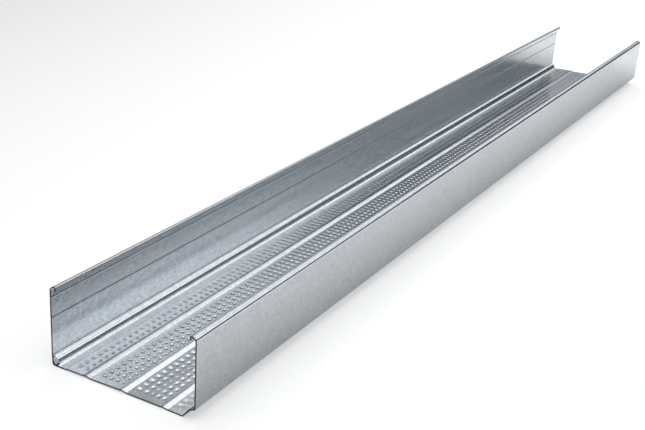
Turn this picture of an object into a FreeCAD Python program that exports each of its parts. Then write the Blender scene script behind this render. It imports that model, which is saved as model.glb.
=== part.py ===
"""Drywall stud: one length of roll-formed galvanised sheet, C section, lying on its web.

Millimetres. X runs across the web, Y along the length, Z up; the origin is the middle of the footprint.
Everything on the sheet that runs its whole length is in the section: the curled lips, the marking grooves,
the two different corners, the edge channel and the three beads of the web.
"""
import math
import os

import FreeCAD
import Part

# overall sizes
WIDTH = 98.8  # over the outer faces of the flanges; seats in a 100 mm track
HEIGHT = 50.0  # underside of the web to the top of the lips
LENGTH = 850.0
SHEET = 0.6  # thickness of the galvanised sheet

# lips: the flange leans inward at its shoulder, rises a little and curls down again
LIP_SHOULDER_DROP = 1.8  # shoulder bend below the top
LIP_REACH = 4.2  # outermost point of the curl from the outer face of the flange
LIP_TIP_DROP = 2.8  # cut edge of the curl below the top
LIP_BEND = 0.9  # centreline radius at the top of the curl
LIP_SHOULDER_BEND = 2.4
LIP_PASSES = 20  # passes that settle the height of the curl's corner

# two fine marking grooves, pressed inward into the far flange only
UPPER_GROOVE_DROP = 7.5  # below the top of the lips
LOWER_GROOVE_DROP = 20.0
GROOVE_HALF = 0.6
GROOVE_DEPTH = 0.18

# web levels above the floor, for the underside of the sheet; a panel climbs a little towards its bead
FIRST_START = 0.42
FIRST_END = 0.55
SECOND_START = 0.3
SECOND_END = 0.62
THIRD_START = 0.3
THIRD_END = 0.42
LAST_START = 0.15  # the last panel runs down to the floor at the near corner
CREST = 0.93  # the two beads farther from the near flange
LAST_CREST = 0.6  # the bead beside the last panel

# the three beads: a short climb to the crest and a steeper fall to the next panel
FAR_BEAD = 24.4  # crest from the outer face of the far flange
MIDDLE_BEAD = 0.3  # crest beyond the middle of the web
NEAR_BEAD = 21.2  # crest from the outer face of the near flange
BEAD_CLIMB = 2.0
BEAD_FALL = 3.2

# far corner: a rounded knee that runs through a hollow into a broad edge channel
FAR_CREASE_Z = 5.9
FAR_KNEE = (2.4, 4.1)
FAR_FOOT_X = 3.2
FAR_CHANNEL_END = 9.5
FAR_STEP = 1.0

# near corner: a deep recess that turns the corner in two steps
NEAR_FOOT = 8.2
NEAR_KNEE = (4.1, 5.6)
NEAR_CREASE_Z = 7.1

# bend radii on the centreline of the sheet
BEND_CREASE = 1.2  # where the far flange meets the corner
BEND_KNEE = 4.0  # the rounded knee below it
BEND_COVE = 2.9  # the hollow that runs from the knee into the edge channel
BEND_TIGHT = 0.6
BEND_BEAD = 1.5


def lip_peak(shoulder):
    """Height of the corner of the curl's centreline that puts the finished lip at HEIGHT."""
    reach = LIP_REACH - SHEET / 2
    run = reach - shoulder[0]
    peak = HEIGHT
    for _ in range(LIP_PASSES):
        slope = math.atan2(peak - shoulder[1], run)
        half = (math.pi / 2 - slope) / 2
        drop = LIP_BEND / math.sin(half) * math.cos(half) - LIP_BEND
        peak = HEIGHT - SHEET / 2 + drop
    return reach, peak


def groove(drop):
    """Corners of the centreline over one marking groove, from above downwards."""
    face = SHEET / 2
    height = HEIGHT - drop
    return [
        (face, height + GROOVE_HALF, BEND_TIGHT),
        (face + GROOVE_DEPTH, height, BEND_TIGHT),
        (face, height - GROOVE_HALF, BEND_TIGHT),
    ]


def far_side():
    """Corners of the centreline from the far lip to the web, as (x, z, bend radius)."""
    face = SHEET / 2
    shoulder = (face, HEIGHT - LIP_SHOULDER_DROP)
    reach, peak = lip_peak(shoulder)
    low = SHEET / 2
    return [
        (reach, HEIGHT - LIP_TIP_DROP, 0.0),
        (reach, peak, LIP_BEND),
        (shoulder[0], shoulder[1], LIP_SHOULDER_BEND),
    ] + groove(UPPER_GROOVE_DROP) + groove(LOWER_GROOVE_DROP) + [
        (face, FAR_CREASE_Z, BEND_CREASE),
        (FAR_KNEE[0], FAR_KNEE[1], BEND_KNEE),
        (FAR_FOOT_X, low, BEND_COVE),
        (FAR_CHANNEL_END, low, BEND_TIGHT),
        (FAR_CHANNEL_END + FAR_STEP, low + FIRST_START, BEND_TIGHT),
    ]


def web_beads():
    """Corners of the centreline over the three beads."""
    beads = (
        (FAR_BEAD, FIRST_END, CREST, SECOND_START),
        (WIDTH / 2 + MIDDLE_BEAD, SECOND_END, CREST, THIRD_START),
        (WIDTH - NEAR_BEAD, THIRD_END, LAST_CREST, LAST_START),
    )
    middle = SHEET / 2
    corners = []
    for place, ahead, crest, behind in beads:
        corners.append((place - BEAD_CLIMB, middle + ahead, BEND_BEAD))
        corners.append((place, middle + crest, BEND_BEAD))
        corners.append((place + BEAD_FALL, middle + behind, BEND_BEAD))
    return corners


def near_side():
    """Corners of the centreline from the web to the near lip."""
    face = SHEET / 2
    shoulder = (face, HEIGHT - LIP_SHOULDER_DROP)
    reach, peak = lip_peak(shoulder)
    return [
        (WIDTH - NEAR_FOOT, SHEET / 2, BEND_TIGHT),
        (WIDTH - NEAR_KNEE[0], NEAR_KNEE[1], BEND_TIGHT),
        (WIDTH - face, NEAR_CREASE_Z, BEND_TIGHT),
        (WIDTH - shoulder[0], shoulder[1], LIP_SHOULDER_BEND),
        (WIDTH - reach, peak, LIP_BEND),
        (WIDTH - reach, HEIGHT - LIP_TIP_DROP, 0.0),
    ]


def direction(start, end):
    """Unit vector from start to end in the section plane."""
    dx = end[0] - start[0]
    dz = end[1] - start[1]
    run = math.hypot(dx, dz)
    return dx / run, dz / run


def offset_chain(corners, offset):
    """Edges of the centreline moved sideways by offset: straights and concentric bends.

    Positive offset lies to the left of the direction of travel.
    """

    def space(x, z):
        return FreeCAD.Vector(x - WIDTH / 2, -LENGTH / 2, z)

    edges = []
    first = corners[0]
    ahead = direction(first, corners[1])
    last_point = (first[0] - ahead[1] * offset, first[1] + ahead[0] * offset)
    start_point = last_point
    for before, corner, after in zip(corners, corners[1:], corners[2:]):
        inward = direction(before, corner)
        outward = direction(corner, after)
        turn = math.atan2(inward[0] * outward[1] - inward[1] * outward[0],
                          inward[0] * outward[0] + inward[1] * outward[1])
        side = 1.0 if turn > 0 else -1.0
        setback = corner[2] * math.tan(abs(turn) / 2)
        enter = (corner[0] - inward[0] * setback, corner[1] - inward[1] * setback)
        centre = (enter[0] - inward[1] * side * corner[2], enter[1] + inward[0] * side * corner[2])
        radius = corner[2] - side * offset
        bend = []
        for share in (0.0, 0.5, 1.0):
            angle = turn * share
            nx = inward[1] * side
            nz = -inward[0] * side
            bend.append((centre[0] + radius * (nx * math.cos(angle) - nz * math.sin(angle)),
                         centre[1] + radius * (nx * math.sin(angle) + nz * math.cos(angle))))
        edges.append(Part.makeLine(space(*last_point), space(*bend[0])))
        edges.append(Part.Arc(*[space(*point) for point in bend]).toShape())
        last_point = bend[2]
    before, end = corners[-2:]
    ahead = direction(before, end)
    end_point = (end[0] - ahead[1] * offset, end[1] + ahead[0] * offset)
    edges.append(Part.makeLine(space(*last_point), space(*end_point)))
    return edges, space(*start_point), space(*end_point)


def stud():
    """The sheet's section, closed at both cut edges and drawn out over the length."""
    corners = far_side() + web_beads() + near_side()
    inner, inner_start, inner_end = offset_chain(corners, SHEET / 2)
    outer, outer_start, outer_end = offset_chain(corners, -SHEET / 2)
    edges = inner + [Part.makeLine(inner_end, outer_end)] + outer + [Part.makeLine(outer_start, inner_start)]
    wire = Part.Wire(Part.__sortEdges__(edges))
    section = Part.Face(wire)
    return section.extrude(FreeCAD.Vector(0, LENGTH, 0))


os.makedirs("parts", exist_ok=True)
shape = stud()
shape.exportStep("parts/stud.step")
box = shape.BoundBox
print("stud", round(shape.Volume, 1), shape.isValid(), len(shape.Solids), len(shape.Faces))
print("box", [round(v, 4) for v in (box.XMin, box.YMin, box.ZMin, box.XMax, box.YMax, box.ZMax)])
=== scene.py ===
"""Galvanised drywall stud lying on its web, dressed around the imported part.

X runs across the web, Y along the length and Z up. Sizes are in millimetres and become metres on the
meshes; lamps, camera and floor are in metres.
"""
import logging
import math
import random
from dataclasses import dataclass
from enum import Enum

import bmesh
import bpy
from mathutils import Matrix, Vector


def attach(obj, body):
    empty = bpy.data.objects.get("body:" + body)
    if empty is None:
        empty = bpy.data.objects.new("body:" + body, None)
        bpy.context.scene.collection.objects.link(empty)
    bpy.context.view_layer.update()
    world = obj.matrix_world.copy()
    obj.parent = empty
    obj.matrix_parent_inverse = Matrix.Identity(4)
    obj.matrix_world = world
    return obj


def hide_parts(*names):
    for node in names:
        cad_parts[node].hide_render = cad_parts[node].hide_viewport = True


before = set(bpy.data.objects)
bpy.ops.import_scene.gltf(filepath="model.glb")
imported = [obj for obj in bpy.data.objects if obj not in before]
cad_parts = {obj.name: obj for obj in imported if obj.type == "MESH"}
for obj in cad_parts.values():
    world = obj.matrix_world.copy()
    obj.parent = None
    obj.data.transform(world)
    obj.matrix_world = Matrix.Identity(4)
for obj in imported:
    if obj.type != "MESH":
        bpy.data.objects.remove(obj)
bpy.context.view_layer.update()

log = logging.getLogger("stud")

MM = 0.001
BODY = "root"
CAD_NODE = "stud"
SHARP_ANGLE = math.radians(38)
SAME_PLACE = 1e-7  # metres
SEAM = 0.4  # from a bend of the web to the seam between the profile and a panel
NOISE_LOW, NOISE_HIGH = 0.3, 0.7  # the values between which a noise mostly lies

Colour = tuple[float, float, float]
Stretch = tuple[float, float, float]
Socket = bpy.types.NodeSocket

EVEN: Stretch = (1.0, 1.0, 1.0)


class Face(Enum):
    """Material slots of every piece of the sheet."""

    ZINC = 0
    CUT = 1


# The section


@dataclass(frozen=True)
class Corner:
    """A corner of the sheet's centreline: across the web, above the floor, and its bend radius."""

    x: float
    z: float
    bend: float = 0.0


@dataclass(frozen=True)
class Bead:
    """A bead of the web: the place of its crest, and the underside's levels along it."""

    place: float
    ahead: float
    crest: float
    behind: float


@dataclass(frozen=True)
class Span:
    """A flat stretch of the web's centreline between two bends."""

    start: Corner
    end: Corner

    def level(self, x: float) -> float:
        """Height of the centreline.

        Args:
            x: the place across the web.

        Returns:
            The height above the floor.
        """
        share = (x - self.start.x) / (self.end.x - self.start.x)
        return self.start.z + share * (self.end.z - self.start.z)


@dataclass(frozen=True)
class Section:
    """The roll-formed section, measured from the far flange's outer face and from the floor."""

    width: float = 98.8
    height: float = 50.0
    length: float = 850.0
    sheet: float = 0.6

    # lips: drops are from the top, the reach is from the outer face of the flange
    lip_shoulder_drop: float = 1.8
    lip_reach: float = 4.2
    lip_tip_drop: float = 2.8
    lip_bend: float = 0.9
    lip_shoulder_bend: float = 2.4
    lip_passes: int = 20  # passes that settle the height of the curl's corner

    # the two marking grooves of the far flange
    groove_drops: tuple[float, float] = (7.5, 20.0)
    groove_half: float = 0.6
    groove_depth: float = 0.3

    # far corner: crease on the flange, bulge, wall, hollow, and the edge channel
    far_crease: float = 5.9
    far_knee: tuple[float, float] = (3.11, 4.76)
    far_wall_foot: tuple[float, float] = (3.89, 2.21)
    far_hollow: tuple[float, float] = (4.96, 1.14)
    far_foot: float = 7.28
    channel_end: float = 9.5
    channel_step: float = 1.0
    first_start: float = 0.42

    # web
    bead_climb: float = 2.0
    bead_fall: float = 3.2
    beads: tuple[Bead, ...] = (
        Bead(24.4, 0.68, 0.96, 0.2),
        Bead(49.7, 0.72, 0.93, 0.3),
        Bead(77.6, 0.42, 0.6, 0.15),
    )

    # near corner: a recess that turns the corner in two steps
    near_foot: float = 8.2
    near_knee: tuple[float, float] = (4.1, 5.6)
    near_crease: float = 7.1

    # bend radii on the centreline
    bend_crease: float = 1.25
    bend_knee: float = 4.3
    bend_wall_foot: float = 2.1
    bend_hollow: float = 4.2
    bend_foot: float = 7.8
    bend_tight: float = 0.6
    bend_bead: float = 1.5

    @property
    def middle(self) -> float:
        """Half the sheet's thickness, from a face to the centreline."""
        return self.sheet / 2

    @property
    def end(self) -> float:
        """Distance in metres from the middle of the stud to each sheared end."""
        return self.length / 2 * MM

    def lip(self) -> list[Corner]:
        """Tip, peak and shoulder of a curled lip on a flange whose outer face is at zero.

        Returns:
            The three corners, from the cut edge down to the flange.
        """
        shoulder = Corner(self.middle, self.height - self.lip_shoulder_drop, self.lip_shoulder_bend)
        reach = self.lip_reach - self.middle
        peak = self.height
        for _ in range(self.lip_passes):
            slope = math.atan2(peak - shoulder.z, reach - shoulder.x)
            half = (math.pi / 2 - slope) / 2
            drop = self.lip_bend / math.sin(half) * math.cos(half) - self.lip_bend
            peak = self.height - self.middle + drop
        tip = Corner(reach, self.height - self.lip_tip_drop)
        return [tip, Corner(reach, peak, self.lip_bend), shoulder]

    def grooves(self) -> list[Corner]:
        """Corners over the two marking grooves of the far flange, from above downwards."""
        face, corners = self.middle, []
        for drop in self.groove_drops:
            height = self.height - drop
            corners += [
                Corner(face, height + self.groove_half, self.bend_tight),
                Corner(face + self.groove_depth, height, self.bend_tight),
                Corner(face, height - self.groove_half, self.bend_tight),
            ]
        return corners

    def far_corner(self) -> list[Corner]:
        """Corners from the crease on the far flange to the start of the first panel."""
        low = self.middle
        return [
            Corner(self.middle, self.far_crease, self.bend_crease),
            Corner(*self.far_knee, self.bend_knee),
            Corner(*self.far_wall_foot, self.bend_wall_foot),
            Corner(*self.far_hollow, self.bend_hollow),
            Corner(self.far_foot, low, self.bend_foot),
            Corner(self.channel_end, low, self.bend_tight),
            Corner(self.channel_end + self.channel_step, low + self.first_start, self.bend_tight),
        ]

    def web(self) -> list[Corner]:
        """Corners over the three beads."""
        low, corners = self.middle, []
        for bead in self.beads:
            corners += [
                Corner(bead.place - self.bead_climb, low + bead.ahead, self.bend_bead),
                Corner(bead.place, low + bead.crest, self.bend_bead),
                Corner(bead.place + self.bead_fall, low + bead.behind, self.bend_bead),
            ]
        return corners

    def near_corner(self) -> list[Corner]:
        """Corners of the recess, from the last panel to the crease on the near flange."""
        return [
            Corner(self.width - self.near_foot, self.middle, self.bend_tight),
            Corner(self.width - self.near_knee[0], self.near_knee[1], self.bend_tight),
            Corner(self.width - self.middle, self.near_crease, self.bend_tight),
        ]

    def corners(self) -> list[Corner]:
        """All corners of the centreline, from the far lip's cut edge to the near lip's."""
        near_lip = [Corner(self.width - c.x, c.z, c.bend) for c in reversed(self.lip())]
        return (self.lip() + self.grooves() + self.far_corner() + self.web()
                + self.near_corner() + near_lip)

    def spans(self) -> list[Span]:
        """The four flat panels of the web, from bend to bend."""
        low = self.middle
        starts = [Corner(self.channel_end + self.channel_step, low + self.first_start)]
        starts += [Corner(b.place + self.bead_fall, low + b.behind) for b in self.beads]
        ends = [Corner(b.place - self.bead_climb, low + b.ahead) for b in self.beads]
        ends.append(Corner(self.width - self.near_foot, low))
        return [Span(a, b) for a, b in zip(starts, ends)]

    def place(self, x: float, y: float, z: float) -> Vector:
        """A point of the row frame.

        Args:
            x: distance from the far face.
            y: distance from the near end.
            z: height above the floor.

        Returns:
            The point in metres.
        """
        return Vector(((x - self.width / 2) * MM, (y - self.length / 2) * MM, z * MM))


# The finishes


class Nodes:
    """A short hand for building one material's node tree."""

    def __init__(self, name: str) -> None:
        """Starts an empty material.

        Args:
            name: the material's name.
        """
        self.material = bpy.data.materials.new(name)
        self.material.use_nodes = True
        self.tree = self.material.node_tree
        self.tree.nodes.clear()
        self.output = self.tree.nodes.new("ShaderNodeOutputMaterial")

    def add(self, kind: str, **settings: object) -> bpy.types.Node:
        """Adds a node.

        Args:
            kind: the node's type name.
            settings: its properties, or socket values under their names.

        Returns:
            The new node.
        """
        node = self.tree.nodes.new(kind)
        for key, value in settings.items():
            if hasattr(node, key):
                setattr(node, key, value)
            else:
                node.inputs[key].default_value = value
        return node

    def link(self, source: Socket, target: Socket) -> None:
        """Joins two sockets.

        Args:
            source: an output.
            target: an input.
        """
        self.tree.links.new(source, target)

    def stretched(self, scale: Stretch) -> Socket:
        """Object coordinates, scaled per axis.

        Args:
            scale: factors along x, y and z.

        Returns:
            The vector's socket.
        """
        where = self.add("ShaderNodeTexCoord")
        mapping = self.add("ShaderNodeMapping", Scale=scale)
        self.link(where.outputs["Object"], mapping.inputs["Vector"])
        return mapping.outputs["Vector"]

    def coordinate(self, axis: str) -> Socket:
        """One of the object coordinates, in metres.

        Args:
            axis: X, Y or Z.

        Returns:
            The value's socket.
        """
        parts = self.add("ShaderNodeSeparateXYZ")
        self.link(self.stretched(EVEN), parts.inputs["Vector"])
        return parts.outputs[axis]

    def noise(self, scale: float, detail: float, roughness: float, stretch: Stretch) -> Socket:
        """Adds a noise on stretched object coordinates.

        Args:
            scale: its scale per metre.
            detail: how many octaves it has.
            roughness: how strong the finer octaves are.
            stretch: factors along x, y and z.

        Returns:
            The value's socket.
        """
        source = self.add("ShaderNodeTexNoise", Scale=scale, Detail=detail, Roughness=roughness)
        self.link(self.stretched(stretch), source.inputs["Vector"])
        return source.outputs["Fac"]

    def spread(self, value: Socket, low: float, high: float,
               start: float = 0.0, end: float = 1.0) -> Socket:
        """Maps a value from start..end to low..high.

        Args:
            value: the socket to map.
            low: result at start.
            high: result at end.
            start: lower end of the input.
            end: upper end of the input.

        Returns:
            The mapped value's socket.
        """
        node = self.add("ShaderNodeMapRange", clamp=True)
        ends = (("From Min", start), ("From Max", end), ("To Min", low), ("To Max", high))
        for name, number in ends:
            node.inputs[name].default_value = number
        self.link(value, node.inputs["Value"])
        return node.outputs["Result"]

    def math(self, operation: str, first: Socket, second: Socket | float = 0.0) -> Socket:
        """Joins two values by one operation.

        Args:
            operation: the Math node's operation.
            first: a socket.
            second: a socket or a number, which an operation on one value leaves out.

        Returns:
            The result's socket.
        """
        node = self.add("ShaderNodeMath", operation=operation)
        self.link(first, node.inputs[0])
        if isinstance(second, float):
            node.inputs[1].default_value = second
        else:
            self.link(second, node.inputs[1])
        return node.outputs["Value"]

    def mix(self, first: Socket | Colour, second: Colour, share: Socket) -> Socket:
        """Mixes one colour into another.

        Args:
            first: the colour so far, as a socket or as plain values.
            second: the colour to mix in.
            share: how much of the second colour there is, from 0 to 1.

        Returns:
            The mixed colour's socket.
        """
        node = self.add("ShaderNodeMix", data_type="RGBA")
        if isinstance(first, tuple):
            node.inputs["A"].default_value = (*first, 1.0)
        else:
            self.link(first, node.inputs["A"])
        node.inputs["B"].default_value = (*second, 1.0)
        self.link(share, node.inputs["Factor"])
        return [s for s in node.outputs if s.type == "RGBA"][0]


@dataclass(frozen=True)
class Pattern:
    """A noise over the sheet: scale per metre, octaves, stretch, and how far it moves the tone."""

    scale: float
    detail: float
    stretch: Stretch
    share: float
    roughness: float = 0.55

    def build(self, n: Nodes) -> Socket:
        """Adds the noise.

        Args:
            n: the material's nodes.

        Returns:
            The value's socket.
        """
        return n.noise(self.scale, self.detail, self.roughness, self.stretch)

    def swing(self, n: Nodes, value: Socket) -> Socket:
        """Turns the noise into a change of tone to both sides of zero.

        Args:
            n: the material's nodes.
            value: the noise's socket.

        Returns:
            The change's socket.
        """
        return n.spread(value, -self.share, self.share, NOISE_LOW, NOISE_HIGH)


@dataclass(frozen=True)
class GalvanisedFinish:
    """Hot-dip zinc on rolled sheet: bluish grey, finely spangled, with soft clouds and faint strokes.

    It carries painted shade: a dark band beside the shear cuts, and dark lines along the lips and in one
    marking groove.
    """

    dark: Colour = (0.575, 0.612, 0.645)
    light: Colour = (0.69, 0.715, 0.737)
    middle_tone: float = 0.5
    roughness_low: float = 0.18
    roughness_high: float = 0.25
    spangle_scale: float = 620.0
    spangle_stretch: Stretch = (1.0, 0.8, 1.0)
    spangle_share: float = 0.5
    spangle_roughness: float = 0.02
    grain: Pattern = Pattern(1300.0, 3.0, (1.0, 0.8, 1.0), 0.6)
    cloud: Pattern = Pattern(60.0, 3.0, (1.0, 0.5, 1.0), 0.08)
    stroke: Pattern = Pattern(520.0, 2.0, (0.25, 1.0, 0.25), 0.12)
    streak: Pattern = Pattern(420.0, 2.0, (1.0, 0.01, 1.0), 0.06)
    grain_depth: float = 0.0000034  # metres
    # painted shade beside the shear cuts, which widens the dark cut edge
    cut_shade: Colour = (0.045, 0.04, 0.036)
    cut_shade_width: float = 0.45
    # painted shade: dark lines along the tops of the lips and in the far flange's lower groove
    painted_shade: Colour = (0.16, 0.18, 0.2)
    painted_shade_share: float = 0.6
    groove_shade_share: float = 0.32
    lip_shade_band: float = 0.45
    groove_shade_band: float = 0.42

    def material(self, section: Section) -> bpy.types.Material:
        """Builds the material.

        Args:
            section: the stud's section, which gives the places of the ends, lips and grooves.

        Returns:
            The material.
        """
        n = Nodes("galvanised_sheet")
        spangle = n.add("ShaderNodeTexVoronoi", feature="F1", Scale=self.spangle_scale, Randomness=1.0)
        n.link(n.stretched(self.spangle_stretch), spangle.inputs["Vector"])
        parts = n.add("ShaderNodeSeparateColor")
        n.link(spangle.outputs["Color"], parts.inputs["Color"])

        patterns = (self.grain, self.cloud, self.stroke, self.streak)
        noises = [pattern.build(n) for pattern in patterns]
        grain, _, stroke, _ = noises
        tone = n.spread(parts.outputs["Red"], self.middle_tone - self.spangle_share,
                        self.middle_tone + self.spangle_share)
        for pattern, noise in zip(patterns, noises):
            tone = n.math("ADD", tone, pattern.swing(n, noise))
        tint = n.mix(self.dark, self.light, tone)
        # painted shade: dark lines along the lips and in the far flange's lower groove
        tint = n.mix(tint, self.painted_shade, self.painted_shade_lines(n, section))
        # painted shade beside the shear cuts
        tint = n.mix(tint, self.cut_shade, self.cut_shade_share(n, section))

        rough = n.math(
            "ADD",
            n.spread(parts.outputs["Green"], -self.spangle_roughness, self.spangle_roughness),
            n.spread(grain, self.roughness_low, self.roughness_high, NOISE_LOW, NOISE_HIGH))
        fine = n.add("ShaderNodeBump", Strength=1.0, Distance=self.grain_depth)
        n.link(n.math("ADD", grain, stroke), fine.inputs["Height"])

        shader = n.add("ShaderNodeBsdfPrincipled", Metallic=1.0)
        n.link(tint, shader.inputs["Base Color"])
        n.link(rough, shader.inputs["Roughness"])
        n.link(fine.outputs["Normal"], shader.inputs["Normal"])
        n.link(shader.outputs["BSDF"], n.output.inputs["Surface"])
        return n.material

    def cut_shade_share(self, n: Nodes, section: Section) -> Socket:
        """Share of painted shade: a hair's breadth beside the shear cuts, widening the dark look of the
        cut edge.

        Args:
            n: the material's nodes.
            section: the stud's section, whose length gives the places of the cuts.

        Returns:
            The share's socket.
        """
        return n.spread(n.math("ABSOLUTE", n.coordinate("Y")), 0.0, 1.0,
                        section.end - self.cut_shade_width * MM, section.end - self.cut_shade_width / 2 * MM)

    def painted_shade_lines(self, n: Nodes, section: Section) -> Socket:
        """Share of painted shade: dark lines along the top of both lips, and in the far flange's lower
        groove.

        Args:
            n: the material's nodes.
            section: the stud's section, whose height gives the places of the lines.

        Returns:
            The share's socket.
        """
        height = n.coordinate("Z")
        lips = n.spread(height, 0.0, self.painted_shade_share, (section.height - self.lip_shade_band) * MM,
                        (section.height - self.lip_shade_band / 2) * MM)
        groove = (section.height - section.groove_drops[1]) * MM
        away = n.math("ABSOLUTE", n.math("SUBTRACT", height, groove))
        line = n.spread(away, self.groove_shade_share, 0.0,
                        self.groove_shade_band / 2 * MM, self.groove_shade_band * MM)
        far = n.spread(n.coordinate("X"), 1.0, 0.0, -section.width / 2 * MM, -section.width / 4 * MM)
        return n.math("MAXIMUM", lips, n.math("MULTIPLY", line, far))


@dataclass(frozen=True)
class CutEdgeFinish:
    """Bare steel where the sheet was sheared: dark, brownish, scored across its thickness."""

    dark: Colour = (0.014, 0.012, 0.010)
    light: Colour = (0.042, 0.037, 0.032)
    roughness: float = 0.6
    score_scale: float = 900.0
    score_detail: float = 3.0
    score_roughness: float = 0.6
    score_low: float = 0.35
    score_high: float = 0.65
    score_strength: float = 0.6
    score_depth: float = 0.00004  # metres

    def material(self) -> bpy.types.Material:
        """Builds the material.

        Returns:
            The material.
        """
        n = Nodes("sheared_edge")
        score = n.noise(self.score_scale, self.score_detail, self.score_roughness, EVEN)
        tint = n.mix(self.dark, self.light,
                     n.spread(score, 0.0, 1.0, self.score_low, self.score_high))
        bump = n.add("ShaderNodeBump", Strength=self.score_strength, Distance=self.score_depth)
        n.link(score, bump.inputs["Height"])
        shader = n.add("ShaderNodeBsdfPrincipled", Metallic=0.0, Roughness=self.roughness)
        n.link(tint, shader.inputs["Base Color"])
        n.link(bump.outputs["Normal"], shader.inputs["Normal"])
        n.link(shader.outputs["BSDF"], n.output.inputs["Surface"])
        return n.material


@dataclass(frozen=True)
class FloorFinish:
    """Plain white studio floor that keeps the stud's shadow; as the metal reflects it, its glow fades
    near the stud as a painted shadow.
    """

    colour: Colour = (0.6, 0.6, 0.6)
    lift: float = 0.48
    # painted shadow: how far from the stud the glow that the metal reflects keeps fading
    reflected_shadow_reach: float = 0.105  # metres

    def material(self, section: Section) -> bpy.types.Material:
        """Builds the material.

        Args:
            section: the stud's section, round which the painted shadow in the metal's reflection lies.

        Returns:
            The material.
        """
        n = Nodes("white_floor")
        base = n.add("ShaderNodeBsdfDiffuse", Color=(*self.colour, 1.0))
        rays = n.add("ShaderNodeLightPath").outputs
        mirrored = n.math("MAXIMUM", rays["Is Glossy Ray"], rays["Is Transmission Ray"])
        # painted shadow: the glow that the metal reflects fades towards the stud
        mirrored = n.math("MULTIPLY", mirrored, self.distance(n, section))
        shown = n.math("MAXIMUM", rays["Is Camera Ray"], mirrored)
        glow = n.add("ShaderNodeEmission")
        n.link(n.math("MULTIPLY", shown, self.lift), glow.inputs["Strength"])
        both = n.add("ShaderNodeAddShader")
        n.link(base.outputs["BSDF"], both.inputs[0])
        n.link(glow.outputs["Emission"], both.inputs[1])
        n.link(both.outputs["Shader"], n.output.inputs["Surface"])
        return n.material

    def distance(self, n: Nodes, section: Section) -> Socket:
        """Share of the painted shadow's reach between a point of the floor and the stud's footprint,
        which fades the glow that the metal reflects.

        Args:
            n: the material's nodes.
            section: the stud's section, which gives the footprint.

        Returns:
            The share's socket, from 0 to 1.
        """
        sides = (("X", section.width / 2 * MM), ("Y", section.end))
        gaps = [n.math("SUBTRACT", n.math("ABSOLUTE", n.coordinate(axis)), half)
                for axis, half in sides]
        return n.spread(n.math("MAXIMUM", *gaps), 0.0, 1.0, 0.0, self.reflected_shadow_reach)


@dataclass(frozen=True)
class Finishes:
    """The materials that the pieces share."""

    zinc: bpy.types.Material
    cut: bpy.types.Material

    def dress(self, piece: bpy.types.Object) -> None:
        """Gives a piece its two slots, in the order of Face.

        Args:
            piece: the piece to dress.
        """
        piece.data.materials.clear()
        piece.data.materials.append(self.zinc)
        piece.data.materials.append(self.cut)


# The pieces of the stud


def new_piece(name: str, bm: bmesh.types.BMesh) -> bpy.types.Object:
    """Turns a bmesh into an object of the scene.

    Args:
        name: the piece's name.
        bm: its shape, which is freed.

    Returns:
        The object, at the origin.
    """
    mesh = bpy.data.meshes.new(name)
    bm.to_mesh(mesh)
    bm.free()
    piece = bpy.data.objects.new(name, mesh)
    bpy.context.scene.collection.objects.link(piece)
    return piece


def thicken(piece: bpy.types.Object, section: Section) -> None:
    """Gives an open surface the sheet's thickness on both sides, with its cut edges on their own slot.

    Args:
        piece: the open surface on the sheet's centreline.
        section: the section, whose thickness, length and height the sheet keeps.
    """
    walls = piece.modifiers.new("sheet", "SOLIDIFY")
    walls.thickness = section.sheet * MM
    walls.offset = 0.0
    walls.use_even_offset = True
    walls.use_rim = True
    walls.material_offset_rim = Face.CUT.value
    bpy.context.view_layer.update()
    seen = piece.evaluated_get(bpy.context.evaluated_depsgraph_get())
    solid = bpy.data.meshes.new_from_object(seen)
    piece.modifiers.clear()
    flat = piece.data
    piece.data = solid
    bpy.data.meshes.remove(flat)
    solid.name = piece.name
    near_end = section.end - section.sheet * MM
    for vert in solid.vertices:
        if abs(vert.co.y) > near_end:
            vert.co.y = math.copysign(section.end, vert.co.y)
        vert.co.z = min(max(vert.co.z, 0.0), section.height * MM)
    solid.shade_smooth()
    solid.set_sharp_from_angle(angle=SHARP_ANGLE)


def hand_over(piece: bpy.types.Object, *nodes: str) -> None:
    """Lets a finished piece ride on the stud's body.

    Args:
        piece: the finished piece.
        nodes: the CAD nodes that it stands for.
    """
    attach(piece, BODY)
    if nodes:
        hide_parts(*nodes)
    piece.data.calc_loop_triangles()
    log.info("%s: %d triangles", piece.name, len(piece.data.loop_triangles))


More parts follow.
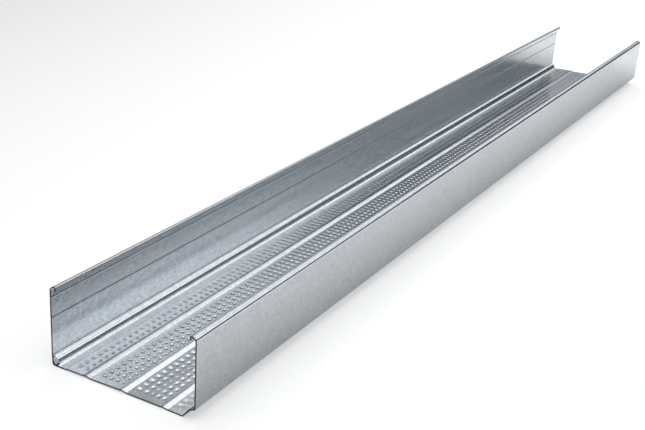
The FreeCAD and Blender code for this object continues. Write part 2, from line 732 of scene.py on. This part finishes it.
@dataclass
class RolledProfile:
    """Everything that is drawn straight along the stud: lips, flanges, corners, channel and beads."""

    section: Section
    finishes: Finishes
    arc_step: float = math.radians(11)
    fewest_steps: int = 2
    panel_top: float = 10.0  # the web's panels lie below this height
    flat_weight: int = 80
    crush_depth: float = 1.4
    crush_radius: float = 1.4
    crush_reach: float = 9.0

    def build(self) -> bpy.types.Object:
        """Builds the piece and hands it over.

        Returns:
            The finished piece.
        """
        bm = bmesh.new()
        self.trace(bm)
        self.draw_out(bm)
        self.open_panels(bm)
        self.crush_ends(bm)
        piece = new_piece("stud_profile", bm)
        self.finishes.dress(piece)
        thicken(piece, self.section)
        flats = piece.modifiers.new("flat faces", "WEIGHTED_NORMAL")
        flats.mode = "FACE_AREA"
        flats.weight = self.flat_weight
        flats.keep_sharp = True
        hand_over(piece, CAD_NODE)
        return piece

    def trace(self, bm: bmesh.types.BMesh) -> None:
        """Draws the centreline at the near end, corner by corner.

        Args:
            bm: the empty shape.
        """
        corners = self.section.corners()
        start = self.section.place(corners[0].x, 0.0, corners[0].z)
        vert = bmesh.ops.create_vert(bm, co=start)["vert"][0]
        for before, corner, after in zip(corners, corners[1:], corners[2:]):
            vert = self.bend(bm, vert, before, corner, after)
        last = corners[-1]
        self.run_to(bm, vert, self.section.place(last.x, 0.0, last.z))

    def bend(self, bm: bmesh.types.BMesh, vert: bmesh.types.BMVert,
             before: Corner, corner: Corner, after: Corner) -> bmesh.types.BMVert:
        """Draws the straight run up to a corner and the bend round it.

        Args:
            bm: the shape.
            vert: the end of the line so far.
            before: the corner before this one.
            corner: the corner to turn.
            after: the corner after this one.

        Returns:
            The new end of the line.
        """
        inward = Vector((corner.x - before.x, 0.0, corner.z - before.z)).normalized()
        outward = Vector((after.x - corner.x, 0.0, after.z - corner.z)).normalized()
        turn = math.atan2(inward.x * outward.z - inward.z * outward.x, inward.dot(outward))
        setback = corner.bend * math.tan(abs(turn) / 2)
        enter = self.section.place(corner.x, 0.0, corner.z) - inward * setback * MM
        across = Vector((-inward.z, 0.0, inward.x)) * math.copysign(1.0, turn)
        vert = self.run_to(bm, vert, enter)
        made = bmesh.ops.spin(
            bm, geom=[vert], cent=enter + across * corner.bend * MM, axis=(0.0, -1.0, 0.0),
            dvec=(0.0, 0.0, 0.0), angle=turn,
            steps=max(self.fewest_steps, math.ceil(abs(turn) / self.arc_step)),
            space=Matrix(), use_merge=False, use_normal_flip=False, use_duplicate=False,
        )
        return [g for g in made["geom_last"] if isinstance(g, bmesh.types.BMVert)][0]

    def run_to(self, bm: bmesh.types.BMesh, vert: bmesh.types.BMVert,
               point: Vector) -> bmesh.types.BMVert:
        """Extrudes a vertex to a point.

        Args:
            bm: the shape.
            vert: the vertex to start from.
            point: where the new one goes.

        Returns:
            The new vertex.
        """
        made = bmesh.ops.extrude_vert_indiv(bm, verts=[vert])["verts"][0]
        made.co = point
        return made

    def draw_out(self, bm: bmesh.types.BMesh) -> None:
        """Draws the wire out over the stud's length, with the faces turned up into the open side.

        Args:
            bm: the shape, so far the centreline at the near end.
        """
        made = bmesh.ops.extrude_edge_only(bm, edges=bm.edges[:])["geom"]
        moved = [g for g in made if isinstance(g, bmesh.types.BMVert)]
        bmesh.ops.translate(bm, verts=moved, vec=(0.0, self.section.length * MM, 0.0))
        bm.normal_update()
        web = max(bm.faces, key=lambda f: f.calc_area() * abs(f.normal.z))
        if web.normal.z < 0:
            bmesh.ops.reverse_faces(bm, faces=bm.faces[:])

    def cut(self, bm: bmesh.types.BMesh, point: Vector, normal: Vector) -> None:
        """Cuts every face that a plane crosses in two.

        Args:
            bm: the shape.
            point: a point of the plane.
            normal: the plane's normal.
        """
        bmesh.ops.bisect_plane(bm, geom=bm.verts[:] + bm.edges[:] + bm.faces[:],
                               plane_co=point, plane_no=normal, dist=SAME_PLACE)

    def open_panels(self, bm: bmesh.types.BMesh) -> None:
        """Takes out the four panels, whose dented sheets are pieces of their own.

        Args:
            bm: the shape.
        """
        for span in self.section.spans():
            left = self.section.place(span.start.x + SEAM, 0.0, 0.0).x
            right = self.section.place(span.end.x - SEAM, 0.0, 0.0).x
            for x in (left, right):
                self.cut(bm, Vector((x, 0.0, 0.0)), Vector((1.0, 0.0, 0.0)))
            gone = [f for f in bm.faces if left < f.calc_center_median().x < right
                    and f.calc_center_median().z < self.panel_top * MM]
            bmesh.ops.delete(bm, geom=gone, context="FACES")

    def crush_ends(self, bm: bmesh.types.BMesh) -> None:
        """Presses the far corner flat where the shear cut the stud, so that each end shows it plain.

        Args:
            bm: the shape.
        """
        inner = self.section.end - self.crush_depth * MM
        top = (self.section.far_crease + self.section.bend_crease) * MM
        reach = (self.crush_reach - self.section.width / 2) * MM
        for side in (-1.0, 1.0):
            self.cut(bm, Vector((0.0, side * inner, 0.0)), Vector((0.0, 1.0, 0.0)))
            edge = side * self.section.end
            ring = [v for v in bm.verts if abs(v.co.y - edge) < SAME_PLACE
                    and v.co.z < top + SAME_PLACE and v.co.x < reach]
            ring.sort(key=lambda v: v.co.x - v.co.z)
            self.square_corner(ring)

    def square_corner(self, ring: list[bmesh.types.BMVert]) -> None:
        """Moves a chain of vertices from the bulged corner onto a plain round one, evenly.

        Args:
            ring: the chain, from the crease on the flange to the foot on the web.
        """
        first, last, y = ring[0].co.copy(), ring[-1].co.copy(), ring[0].co.y
        r = self.crush_radius * MM
        centre = Vector((first.x + r, y, last.z + r))
        lengths = [0.0]
        for a, b in zip(ring, ring[1:]):
            lengths.append(lengths[-1] + (b.co - a.co).length)
        down, arc, along = first.z - centre.z, r * math.pi / 2, last.x - centre.x
        total = down + arc + along
        for vert, length in zip(ring, lengths):
            way = length / lengths[-1] * total
            if way < down:
                vert.co = Vector((first.x, y, first.z - way))
            elif way < down + arc:
                angle = math.pi + (way - down) / r
                vert.co = centre + Vector((math.cos(angle), 0.0, math.sin(angle))) * r
            else:
                vert.co = Vector((centre.x + way - down - arc, y, last.z))


@dataclass(frozen=True)
class DentRow:
    """One line of dents: its place across the web, and its depth as a share of the full depth."""

    x: float
    share: float = 1.0


@dataclass
class KnurledPanel:
    """A flat panel of the web, pressed with lines of round dents from the open side."""

    section: Section
    finishes: Finishes
    name: str
    span: Span
    rows: tuple[DentRow, ...]
    seed: int
    pitch: float = 5.45
    first_column: float = 7.3
    cell_cuts: int = 2
    rim: float = 0.1
    radius: float = 0.7
    radius_spread: float = 0.1
    wall_width: float = 0.36  # share of the radius
    depth: float = 0.18
    depth_spread: float = 0.2
    wall_share: float = 0.65  # share of the depth

    def build(self) -> bpy.types.Object:
        """Builds the piece and hands it over.

        Returns:
            The finished piece.
        """
        bm = bmesh.new()
        cells = self.grid(bm)
        self.dent(bm, cells)
        piece = new_piece(self.name, bm)
        self.finishes.dress(piece)
        thicken(piece, self.section)
        hand_over(piece)
        return piece

    def lines(self) -> tuple[list[float], list[float]]:
        """Places of the cell borders.

        Returns:
            The borders across the panel, and those along it.
        """
        middles = [(a.x + b.x) / 2 for a, b in zip(self.rows, self.rows[1:])]
        across = [self.span.start.x + SEAM, *middles, self.span.end.x - SEAM]
        start = self.first_column - self.pitch / 2
        count = int((self.section.length - start - self.pitch / 2) / self.pitch)
        along = [0.0, *(start + self.pitch * i for i in range(count + 1)), self.section.length]
        return across, along

    def grid(self, bm: bmesh.types.BMesh) -> dict[bmesh.types.BMFace, tuple[DentRow, float]]:
        """Lays out one cell per dent, with a plain border at both ends of the stud.

        Args:
            bm: the empty shape.

        Returns:
            The cells to dent, each with its row and the dent's place along the stud.
        """
        across, along = self.lines()
        wide, long = len(across) - 1, len(along) - 1
        bmesh.ops.create_grid(bm, x_segments=wide, y_segments=long, size=0.5)
        for vert in bm.verts:
            x = across[round((vert.co.x + 0.5) * wide)]
            y = along[round((vert.co.y + 0.5) * long)]
            vert.co = self.section.place(x, y, self.span.level(x))
        cells = {}
        for face in bm.faces:
            middle = face.calc_center_median() / MM
            x, y = middle.x + self.section.width / 2, middle.y + self.section.length / 2
            column = round((y - self.first_column) / self.pitch)
            if 0 <= column < long - 2 and along[1] < y < along[-2]:
                row = next(r for r, low, high in zip(self.rows, across, across[1:])
                           if low < x < high)
                cells[face] = (row, self.first_column + column * self.pitch)
        bmesh.ops.bisect_edges(bm, edges=bm.edges[:], cuts=self.cell_cuts)
        return cells

    def dent(self, bm: bmesh.types.BMesh,
             cells: dict[bmesh.types.BMFace, tuple[DentRow, float]]) -> None:
        """Sinks a round dent into each cell.

        Args:
            bm: the shape.
            cells: the cells, each with its row and the dent's place along the stud.
        """
        draw = random.Random(self.seed)
        faces = list(cells)
        bmesh.ops.inset_individual(bm, faces=faces, thickness=self.rim * MM, depth=0.0)
        for face, (row, y) in cells.items():
            centre = self.section.place(row.x, y, self.span.level(row.x))
            self.round_off(face, centre, self.radius * MM * self.vary(draw, self.radius_spread))
        bmesh.ops.inset_individual(bm, faces=faces, thickness=self.radius * self.wall_width * MM,
                                   depth=0.0)
        depths = []
        for face, (row, _) in cells.items():
            depths.append(self.depth * row.share * self.vary(draw, self.depth_spread) * MM)
            for vert in face.verts:
                vert.co.z -= depths[-1] * self.wall_share
        middles = bmesh.ops.poke(bm, faces=faces, offset=0.0)["verts"]
        for middle, depth in zip(middles, depths):
            middle.co.z -= depth * (1.0 - self.wall_share)

    def vary(self, draw: random.Random, spread: float) -> float:
        """Draws a factor close to one.

        Args:
            draw: the panel's random numbers.
            spread: the width of the range round one.

        Returns:
            The factor.
        """
        return 1.0 - spread / 2 + spread * draw.random()

    def round_off(self, face: bmesh.types.BMFace, centre: Vector, radius: float) -> None:
        """Moves a face's corners onto an even ring on the panel.

        Args:
            face: the face.
            centre: the ring's centre.
            radius: the ring's radius in metres.
        """
        around = sorted(face.verts, key=lambda v: math.atan2(v.co.y - centre.y, v.co.x - centre.x))
        step = 2 * math.pi / len(around)
        for index, vert in enumerate(around):
            angle = -math.pi + step * (index + 0.5)
            x = centre.x + radius * math.cos(angle)
            level = self.span.level(x / MM + self.section.width / 2) * MM
            vert.co = Vector((x, centre.y + radius * math.sin(angle), level))


# The studio


@dataclass(frozen=True)
class Softbox:
    """A rectangular lamp over the stud that faces straight down, with its middle and size in metres."""

    name: str
    middle: tuple[float, float]
    size: tuple[float, float]
    radiance: float

    def build(self, height: float) -> bpy.types.Object:
        """Adds the lamp to the scene.

        Args:
            height: how high above the floor it hangs.

        Returns:
            The lamp's object.
        """
        lamp = bpy.data.lights.new(self.name, "AREA")
        lamp.shape = "RECTANGLE"
        lamp.size, lamp.size_y = self.size
        lamp.energy = self.radiance * math.pi * self.size[0] * self.size[1]
        holder = bpy.data.objects.new(self.name, lamp)
        holder.location = (*self.middle, height)
        bpy.context.scene.collection.objects.link(holder)
        return holder


@dataclass(frozen=True)
class Studio:
    """Floor, plain light and the photograph's camera."""

    world: Colour = (0.036, 0.048, 0.06)
    eye: tuple[float, float, float] = (0.335346, -0.826593, 0.325276)
    right: tuple[float, float, float] = (0.86455539, 0.49880516, 0.06113424)
    up: tuple[float, float, float] = (-0.24110611, 0.30497786, 0.92133401)
    lens: float = 61.48
    sensor: float = 36.0
    clip: tuple[float, float] = (0.01, 100.0)
    boxes: tuple[Softbox, ...] = (
        Softbox("left_box", (-0.26, 0.05), (0.32, 2.5), 1.5),
        Softbox("middle_near_box", (0.07, -0.55), (0.34, 1.3), 1.55),
        Softbox("middle_box", (0.07, 0.7), (0.34, 1.2), 1.38),
        Softbox("middle_far_box", (0.07, 1.7), (0.34, 0.8), 1.25),
        Softbox("right_box", (0.36, 0.25), (0.24, 2.9), 0.76),
        Softbox("far_box", (0.19, 3.25), (0.58, 2.3), 0.62),
        Softbox("side_box", (0.69, 0.57), (0.42, 0.94), 1.75),
        Softbox("side_near_box", (0.69, -0.55), (0.42, 1.3), 0.72),
        Softbox("outer_left_box", (-0.86, 0.95), (0.88, 0.7), 0.8),
        Softbox("outer_near_box", (-0.71, 0.2), (0.58, 0.8), 0.35),
        Softbox("outer_far_box", (-0.5, 2.15), (0.8, 1.7), 0.5),
    )
    height: float = 0.6
    floor_size: float = 40.0
    floor_drop: float = 0.0001

    def build(self, section: Section) -> None:
        """Builds the whole studio.

        Args:
            section: the section of the stud that lies in it.
        """
        self.floor(section)
        self.light()
        self.camera()
        bpy.context.scene.view_settings.view_transform = "Standard"

    def floor(self, section: Section) -> None:
        """Lays the floor just under the stud.

        Args:
            section: the section of the stud that lies on it.
        """
        bm = bmesh.new()
        bmesh.ops.create_grid(bm, x_segments=1, y_segments=1, size=self.floor_size / 2)
        bmesh.ops.translate(bm, verts=bm.verts[:], vec=(0.0, 0.0, -self.floor_drop))
        floor = new_piece("floor", bm)
        floor.data.materials.append(FloorFinish().material(section))

    def light(self) -> None:
        """Sets the dim surround and hangs the softboxes."""
        world = bpy.data.worlds.new("studio")
        world.use_nodes = True
        back = world.node_tree.nodes["Background"]
        back.inputs["Color"].default_value = (*self.world, 1.0)
        bpy.context.scene.world = world
        for box in self.boxes:
            box.build(self.height)

    def camera(self) -> None:
        """Places the camera at the photograph's view."""
        data = bpy.data.cameras.new("view")
        data.sensor_fit = "HORIZONTAL"
        data.sensor_width = self.sensor
        data.lens = self.lens
        data.clip_start, data.clip_end = self.clip
        camera = bpy.data.objects.new("view", data)
        right, up = Vector(self.right), Vector(self.up)
        back = right.cross(up)
        turn = Matrix((right, up, back)).transposed().to_4x4()
        camera.matrix_world = Matrix.Translation(Vector(self.eye)) @ turn
        bpy.context.scene.collection.objects.link(camera)
        bpy.context.scene.camera = camera


def panel_rows() -> list[tuple[DentRow, ...]]:
    """The lines of dents on each panel.

    Returns:
        One tuple of rows per panel, from the far one to the near one.
    """
    return [
        (DentRow(14.6, 0.8), DentRow(19.8, 0.9)),
        (DentRow(32.8), DentRow(37.1), DentRow(41.4), DentRow(45.6)),
        (DentRow(57.4), DentRow(61.6), DentRow(65.6, 0.45), DentRow(69.4), DentRow(73.6)),
        (DentRow(84.4, 0.28),),
    ]


def main() -> None:
    """Builds the stud and its studio."""
    logging.basicConfig(level=logging.INFO, format="%(name)s: %(message)s")
    section = Section()
    finishes = Finishes(GalvanisedFinish().material(section), CutEdgeFinish().material())
    RolledProfile(section, finishes).build()
    for index, (span, rows) in enumerate(zip(section.spans(), panel_rows()), start=1):
        KnurledPanel(section, finishes, f"web_panel_{index}", span, rows, seed=index).build()
    Studio().build(section)
    log.info("boxes written")


if __name__ == "__main__":
    main()
